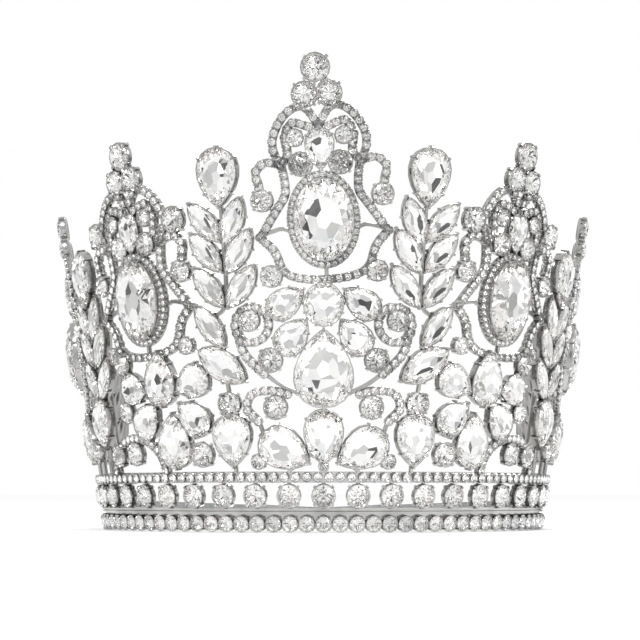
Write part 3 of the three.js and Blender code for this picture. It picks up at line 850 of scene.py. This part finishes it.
def spray(motif, name, loose, foot=True):
    leaf_width = LEAF[0] / LEAF[1]
    for i, (across, up, spin) in enumerate(LEAVES if loose else LEAVES[:-1], start=1):
        if loose:
            motif.stone(f"{name}_leaf_{i}", across, up, spin, "marquise", leaf_width, 1)
        else:
            motif.fused(across, up, spin, "marquise", leaf_width, 1)
    if loose:
        motif.stone(f"{name}_pear", *SPRAY_PEAR)
        motif.stone(f"{name}_foot_leaf", 0.13, -2.23, -56, "marquise", 0.6, 1.16)
        motif.round(0.03, -3, 0.45)
        motif.fused(0, -3.72, 180, "pear", 0.8, 1.04)
        motif.wire(STEM)
        motif.wire([[0.12, -2.3], [0.05, -2.78]])
        motif.post(0, -4.1)
    else:
        motif.fused(*SPRAY_PEAR)
        motif.post(0, 1)
        if foot:
            motif.fused(0, -1.62, 180, "pear", 0.8, 1.04)


# The flower under a side peak. Places are shares of its biggest petal. One without a name is fused.
SIDE_PETALS = [
    ("top", -0.46, 0.35, 0, 1, 1),
    ("inner", -1.46, 0.27, -115, 0.84, 0.73),
    ("", 0.56, 0.18, 100, 0.8, 0.72),
    ("low", -1.39, -0.38, -47, 0.8, 0.78),
    ("outer", 0.15, -0.41, 48, 0.84, 0.76),
    ("foot", -0.74, -0.8, 0, 1, 1),
]
SIDE_ROUNDS = [
    (-1.52, -1.06, 0.6),
    (0.81, -1.03, 0.56),
    (1, 0.67, 0.6),
    (1, -0.25, 0.52),
    (1.65, -1.06, 0.56),
]
SIDE_PEAK_ROUNDS = [
    (1.03, 0.92, 0.44),
    (0.93, -0.64, 0.28),
]
ARCH = (0.81, 1.1, -0.73)
ARCH_CLEAR = 0.6 * MM


def side_flower(motif, hand):
    for name, across, up, spin, width, length in SIDE_PETALS:
        if name:
            motif.stone(f"{name}_side_petal_{hand}", across, up, spin, "pear", width, length)
        else:
            motif.fused(across, up, spin, "pear", width, length)
    for across, up, size in SIDE_ROUNDS:
        motif.round(across, up, size)
    middle, half, top = ARCH
    foot = (BAND_TOP + ARCH_CLEAR - motif.height) / motif.unit[1]
    turns = np.linspace(0, math.pi, 9)
    motif.pave([[middle - math.cos(t) * half, foot + math.sin(t) * (top - foot)] for t in turns])


# The foot of a rear peak: a fan of three pears and two rounds
def rear_fan(motif):
    motif.fused(0, 0, 0, "pear", 1, 1)
    motif.wire([[-1.45, -0.2], [1.45, -0.2]])
    for side in (1, -1):
        motif.fused(side * 1.1, -0.05, side * 40, "pear", 0.84, 0.82)
        motif.round(side * 1.7, -0.3, 0.56)
        motif.post(side * 1.7, -0.5)


# The band: rows of stones in cups between sheets and rails that run right round
SWEEP_STEPS = 150


def sweep(work, profile):
    """A closed profile of (out, height) carried round the wall between the band's ends."""
    steps = SWEEP_STEPS
    angles = np.linspace(-END_ANGLE, END_ANGLE, steps + 1)
    points = []
    for angle in angles:
        for out, height in profile:
            points.append([angle * radius_at(height), height, out])
    points = bend(np.array(points), 0)
    n = len(profile)
    faces = [list(range(n)), list(range(steps * n, (steps + 1) * n))]
    for i in range(steps):
        low = i * n
        faces += [[low + k, low + (k + 1) % n, low + n + (k + 1) % n, low + n + k] for k in range(n)]
    work.add(points, faces)


def box_profile(back, front, low, high):
    return [(back, low), (front, low), (front, high), (back, high)]


def row(height, pitch, odd=False):
    """Even angles between the band's ends. An odd row has one at the very front."""
    around = 2 * END_ANGLE * radius_at(height)
    count = 2 * round((around / pitch - 1) / 2) + 1 if odd else round(around / pitch)
    return (np.arange(count) + 0.5) / count * 2 * END_ANGLE - END_ANGLE


def base_band():
    ledge_low = ROW_STONE + 2 * ROW_SPACE
    ledge_high = ledge_low + LEDGE
    mid_height = ledge_high + (MID_STONE + RIM) / 2
    rail_low = BAND_TOP - TOP_RAIL
    metal, stones = Work(), Work()
    sweep(metal, box_profile(SHEET_BACK, SHEET_FRONT - BAND_INSET, FOOT_EDGE, ledge_high))
    ledge_back, ledge_face = SHEET_BACK + LEDGE_INSET, SHEET_FRONT + LEDGE_STAND
    for low in (ledge_low, ledge_high - LEDGE_SHEET):
        sweep(metal, box_profile(ledge_back, ledge_face, low, low + LEDGE_SHEET))
    sweep(metal, box_profile(SHEET_BACK, SHEET_FRONT - RAIL_INSET, rail_low, BAND_TOP))
    rows = [
        (ROW_HEIGHT, ROW_STONE - ROW_SPARE, ROW_STONE + ROW_SPACE, FUSED_TOP - ROW_SINK, False),
        (mid_height, MID_STONE - MID_SPARE, MID_STONE + MID_SPACE, FUSED_TOP, True),
    ]
    for height, size, pitch, top, odd in rows:
        for angle in row(height, pitch, odd):
            bench = Bench(angle, metal, stones)
            bench.set_stone(stones, (0, height), 0, "round", (size, size), top, ROW_WALL, size * ROUND_CLAW)
    for angle in row(rail_low, RAIL_STONE + RAIL_SPACE):
        bench = Bench(angle, metal, stones)
        bench.small_stone((0, rail_low + TOP_RAIL / 2), RAIL_STONE, PAVE_TOP + RAIL_LIFT)
    for angle in row(mid_height, MID_STONE + MID_SPACE, True):
        for way, end in ((-1, ledge_high), (1, rail_low)):
            start = mid_height + way * MID_STONE * BRIDGE_START
            wire(metal, angle, [(0, start), (0, end)], WIRE)
    metal.make("band_metal", "metal", [SILVER], ["base_band"], smooth=True)
    stones.make("band_stones", "crystal", [GLASS, FOIL, ROUND_FOIL])


# The studio: a pale floor, a white surround and grey cards that only the stones and metal pick up
AIM = Vector((0, 0, 0.07))
FLOOR_REACH = 20.0
FLOOR_CARD_LIFT = 0.3 * MM


def plain(name, color, roughness):
    material = bpy.data.materials.new(name)
    material.use_nodes = True
    shader = material.node_tree.nodes["Principled BSDF"]
    shader.inputs["Base Color"].default_value = (*color, 1)
    shader.inputs["Roughness"].default_value = roughness
    shader.inputs["Specular IOR Level"].default_value = 0
    return material


def panel_of(name, corners, material):
    mesh = bpy.data.meshes.new(name)
    mesh.from_pydata([tuple(corner) for corner in corners], [], [(0, 1, 2, 3)])
    mesh.materials.append(material)
    panel = bpy.data.objects.new(name, mesh)
    bpy.context.scene.collection.objects.link(panel)
    return panel


# Rings of grey cards: elevation in degrees, how many, width and height
CARD_RINGS = [
    (10, 17, 0.4, 0.36),
    (30, 14, 0.42, 0.38),
    (50, 11, 0.4, 0.38),
    (72, 5, 0.4, 0.36),
]
CARD_REACH = 1.5
CARD_TONES = [0.48, 0.62, 0.06, 0.54, 0.68, 0.36, 0.58, 0.46, 0.64, 0.26]
# Rings of cards on the floor: inner and outer reach and how many. They cover a share of each ring.
FLOOR_RINGS = [
    (0.13, 0.2, 10),
    (0.2, 0.33, 11),
    (0.33, 0.56, 13),
    (0.56, 1.2, 12),
    (1.2, 4.0, 14),
]
FLOOR_COVER = 0.85
# Lamps: name, place, size and watts
LAMPS = [
    ("key", (-0.5, -0.9, 0.9), 0.3, 7),
    ("fill", (0.8, -0.6, 0.6), 0.2, 4),
    ("back", (0.2, 0.9, 0.8), 0.3, 5),
]


def card_places():
    """Middle, width and height of each card round the crown."""
    for elevation, count, width, height in CARD_RINGS:
        rise = math.radians(elevation)
        for i in range(count):
            turn = (i + 0.5) / count * 2 * math.pi
            yield (
                Vector((
                    math.sin(turn) * math.cos(rise),
                    -math.cos(turn) * math.cos(rise),
                    math.sin(rise),
                )) * CARD_REACH,
                width,
                height,
            )


def shade_card(card):
    """Leaves a card to reflections and refractions alone."""
    card.visible_camera = False
    card.visible_shadow = False
    card.visible_diffuse = False


def studio():
    square = ((-1, -1), (1, -1), (1, 1), (-1, 1))
    corners = [(x * FLOOR_REACH, y * FLOOR_REACH, 0) for x, y in square]
    panel_of("floor", corners, plain("floor_white", (0.97, 0.97, 0.97), 0.6))
    greys = [plain(f"grey_card_{i}", (tone, tone, tone), 0.8) for i, tone in enumerate(CARD_TONES, start=1)]
    for i, (middle, width, height) in enumerate(card_places(), start=1):
        facing = (AIM - middle).to_track_quat("Z", "Y")
        corners = [
            middle + facing @ Vector((x * width / 2, y * height / 2, 0))
            for x, y in square
        ]
        shade_card(panel_of(f"card_{i}", corners, greys[i % len(greys)]))
    for level, (inner, outer, count) in enumerate(FLOOR_RINGS):
        for i in range(count):
            turn = (i + 0.5) / count * 2 * math.pi
            wide = math.pi / count * FLOOR_COVER
            corners = [
                (math.sin(turn + way * wide) * reach, -math.cos(turn + way * wide) * reach, FLOOR_CARD_LIFT)
                for way, reach in ((-1, inner), (1, inner), (1, outer), (-1, outer))
            ]
            shade_card(panel_of(f"floor_card_{level}_{i}", corners, greys[(i * 3 + level) % len(greys)]))
    world = bpy.data.worlds.new("surround")
    world.use_nodes = True
    world.node_tree.nodes["Background"].inputs["Color"].default_value = (1, 1, 1, 1)
    world.node_tree.nodes["Background"].inputs["Strength"].default_value = 1.0
    bpy.context.scene.world = world
    for name, place, size, watts in LAMPS:
        lamp = bpy.data.lights.new(name, "AREA")
        lamp.size = size
        lamp.energy = watts
        holder = bpy.data.objects.new(name, lamp)
        holder.location = place
        holder.rotation_euler = (AIM - holder.location).to_track_quat("-Z", "Y").to_euler()
        bpy.context.scene.collection.objects.link(holder)
    bpy.context.scene.view_settings.view_transform = "Standard"
    # Light that is caught between a stone's foil and its facets needs many turns to come out again
    paths = bpy.context.scene.cycles
    paths.max_bounces = 32
    paths.glossy_bounces = 24
    paths.transmission_bounces = 24


def front():
    bench = Bench(0)
    top = Motif(bench, 1, PEAK_HEIGHTS[0], OVAL, PEAK_LEANS[0])
    peak(top, "front_oval", "front_crest_pear")
    for way in (1, -1):
        top.round(way * 0.91 - 0.04, -0.64, 0.35)
    flower(Motif(bench, 1, FLOWER_HEIGHT, FLOWER_PEAR))
    finish_panel(bench, "front_panel")


def side(hand):
    name = "right" if hand > 0 else "left"
    leaf_unit = (LEAF[1], LEAF[1])

    bench = Bench(hand * BAY_ANGLE * SPRAY_PLACE)
    spray(Motif(bench, hand, SPRAY_HEIGHTS[0], leaf_unit), f"spray_{name}", True)
    finish_panel(bench, f"spray_{name}")

    bench = Bench(hand * BAY_ANGLE)
    top = Motif(bench, hand, PEAK_HEIGHTS[1], OVAL, PEAK_LEANS[1])
    peak(top, f"side_oval_{name}", f"side_crest_pear_{name}")
    for way in (1, -1):
        for across, up, size in SIDE_PEAK_ROUNDS:
            top.round(way * across, up, size)
    side_flower(Motif(bench, hand, SIDE_FLOWER_HEIGHT, SIDE_PETAL), name)
    finish_panel(bench, f"side_panel_{name}")

    bench = Bench(hand * BAY_ANGLE * REAR_SPRAY_PLACE)
    spray(Motif(bench, hand, SPRAY_HEIGHTS[1], leaf_unit), "", False)
    finish_panel(bench, f"rear_spray_{name}")

    bench = Bench(hand * BAY_ANGLE * REAR_PEAK_PLACE)
    top = Motif(bench, hand, PEAK_HEIGHTS[2], OVAL, PEAK_LEANS[2])
    peak(top, f"rear_oval_{name}", "")
    top.post(0, -0.7)
    rear_fan(Motif(bench, hand, REAR_FAN_HEIGHT, SIDE_PETAL))
    finish_panel(bench, f"rear_panel_{name}")

    bench = Bench(hand * BAY_ANGLE * END_SPRAY_PLACE)
    spray(Motif(bench, hand, SPRAY_HEIGHTS[2], leaf_unit), "", False, foot=False)
    finish_panel(bench, f"end_spray_{name}")


set_camera()
studio()
base_band()
front()
side(1)
side(-1)
for strip in ("head_strip_left", "head_strip_middle", "head_strip_right"):
    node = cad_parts[strip]
    for slot in node.material_slots:
        slot.material = STEEL
